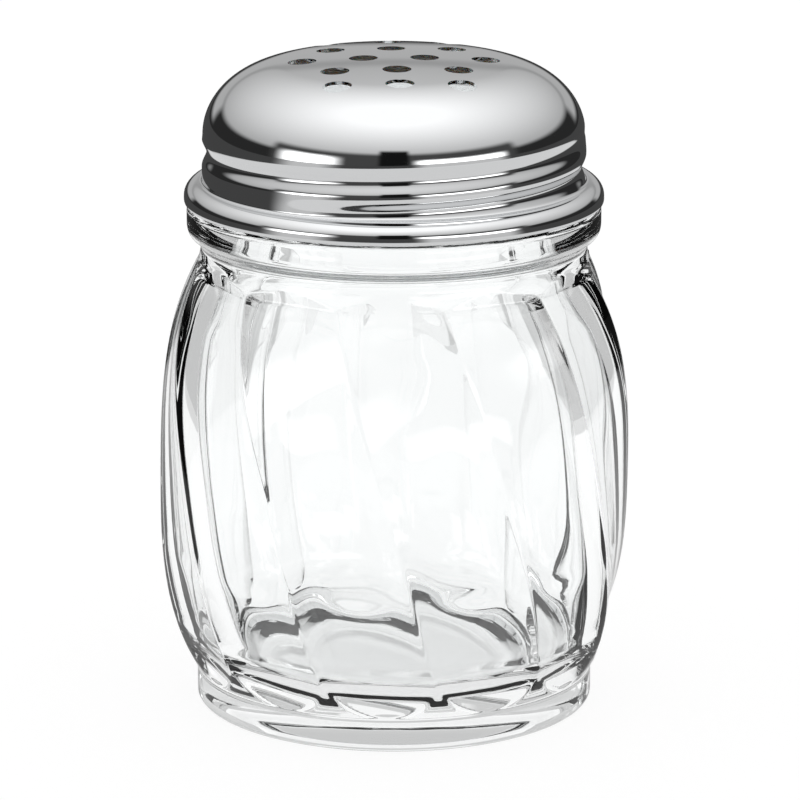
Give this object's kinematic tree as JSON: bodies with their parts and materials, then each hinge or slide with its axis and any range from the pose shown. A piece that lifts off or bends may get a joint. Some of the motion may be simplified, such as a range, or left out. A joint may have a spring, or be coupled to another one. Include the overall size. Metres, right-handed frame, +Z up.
{
  "type": "spice shaker",
  "caption": "Round glass table shaker with twisted flutes, a threaded mouth and a domed, pierced metal screw lid.",
  "frame": {"origin": "centre of the foot, on the surface that the jar stands on", "axes": "+Z up along the jar's axis, through the lid's crown; -Y is the front that the twelve-sided belly and the lid's rows of holes are seen from"},
  "size_m": [0.0732, 0.0732, 0.1017],
  "materials": {
    "glass": "clear pressed soda-lime glass, fire-polished",
    "ring": "translucent soft seal, moulded",
    "chrome": "bright chrome-plated steel sheet"
  },
  "bodies": {
    "jar": {"glass_jar": "glass"},
    "ring": {"rim_ring": "ring"},
    "lid": {"lid": "chrome"}
  },
  "joints": [
    {"name": "lid_lift", "type": "slide", "parent": "jar", "child": "ring", "axis": [0, 0, 1], "range_m": [0, 0.0144]},
    {"name": "lid_turn", "type": "hinge", "parent": "ring", "child": "lid", "pos_m": [0, 0, 0.09], "axis": [0, 0, 1], "range_deg": [0, 1080]}
  ],
  "couplings": [
    {"joint": "lid_lift", "follows": "lid_turn", "m_per_rad": 0.00076394}
  ]
}
